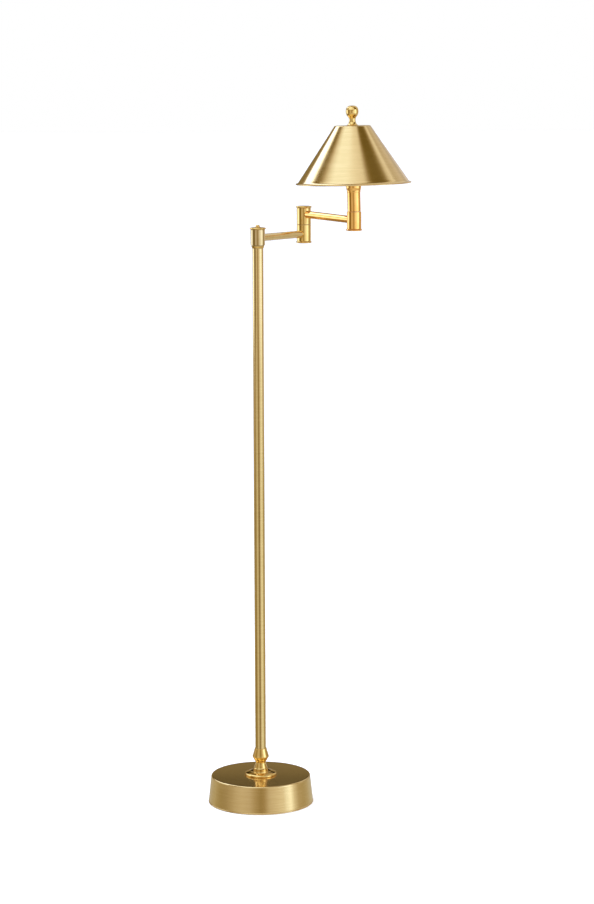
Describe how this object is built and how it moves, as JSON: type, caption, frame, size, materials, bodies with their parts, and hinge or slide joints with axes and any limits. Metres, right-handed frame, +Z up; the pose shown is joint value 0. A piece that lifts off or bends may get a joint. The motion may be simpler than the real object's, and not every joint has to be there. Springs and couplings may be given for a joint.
{
  "type": "adjustable arm floor lamp",
  "caption": "Floor lamp with a weighted drum base, straight pole, swivelling jointed arm, candle-tube head and conical metal shade with ball finial.",
  "frame": {"origin": "centre of the base's underside, on the pole's axis and on the floor", "axes": "+Z up along the pole; the lamp head stands off towards +X and the arm's knuckle towards +Y; the cord leaves the base at +Y"},
  "size_m": [0.4125, 0.2802, 1.4119],
  "materials": {
    "brushed_brass": "brushed in rings, clear lacquer",
    "polished_brass": "polished, clear lacquer",
    "plain_brass": "satin",
    "steel": "zinc plated",
    "cast_iron": "as cast",
    "felt": "pressed wool felt",
    "phenolic": "moulded phenolic",
    "fibre": "vulcanised fibre",
    "wire_jacket": "gold vinyl",
    "frosted_glass": "inside frosted"
  },
  "bodies": {
    "stand": {"base_shell": "brushed_brass", "base_weight": "cast_iron", "base_felt": "felt", "base_lock_washer": "steel", "base_lock_nut": "steel", "base_pipe": "steel", "cord_bushing": "phenolic", "neck_dome": "polished_brass", "neck_vase": "polished_brass", "pole_collar": "polished_brass", "pole_tube": "brushed_brass", "pole_bottom_plug": "plain_brass", "pole_top_plug": "plain_brass", "pole_seat_ring": "polished_brass", "pole_swivel_washer": "plain_brass", "pole_spindle": "steel", "pole_spring_washer": "steel", "pole_lock_nut": "steel", "stand_wire": "wire_jacket"},
    "arm_1": {"pole_barrel": "polished_brass", "pole_barrel_cap": "polished_brass", "pole_cap_ring": "polished_brass", "pole_cap_screw": "polished_brass", "arm_1_tube": "polished_brass", "knuckle_lower_barrel": "polished_brass", "knuckle_bottom_cap": "polished_brass", "knuckle_spindle": "steel", "knuckle_spindle_nut": "steel", "knuckle_swivel_washer": "plain_brass", "knuckle_spring_washer": "steel", "knuckle_lock_nut": "steel", "arm_1_wire": "wire_jacket"},
    "arm_2": {"knuckle_upper_barrel": "polished_brass", "knuckle_top_cap": "polished_brass", "arm_2_tube": "polished_brass", "head_barrel": "polished_brass", "head_bottom_cap": "polished_brass", "arm_2_wire": "wire_jacket", "candle_tube": "polished_brass", "head_pipe": "steel", "head_lock_nut": "steel", "socket_cap": "plain_brass", "socket_shell": "plain_brass", "socket_liner": "fibre", "socket_body": "phenolic", "socket_screw_shell": "plain_brass", "bulb_cap": "steel", "bulb_glass": "frosted_glass", "harp_saddle": "steel", "harp_wire": "plain_brass", "harp_ferrule_1": "plain_brass", "harp_ferrule_2": "plain_brass", "harp_stud": "plain_brass", "shade": "brushed_brass", "finial": "polished_brass"},
    "switch": {"switch_stem": "plain_brass", "switch_knob": "phenolic"}
  },
  "joints": [
    {"name": "arm_1_swing", "type": "hinge", "parent": "stand", "child": "arm_1", "pos_m": [0, 0, 1.155], "axis": [0, 0, 1], "range_deg": [-165, 165]},
    {"name": "arm_2_swing", "type": "hinge", "parent": "arm_1", "child": "arm_2", "pos_m": [0.09433, 0.15095, 1.17], "axis": [0, 0, 1], "range_deg": [-50, 282]},
    {"name": "switch_turn", "type": "hinge", "parent": "arm_2", "child": "switch", "pos_m": [0.16216, 0.00184, 1.27395], "axis": [-0.9998, 0, -0.0192], "continuous": true}
  ]
}
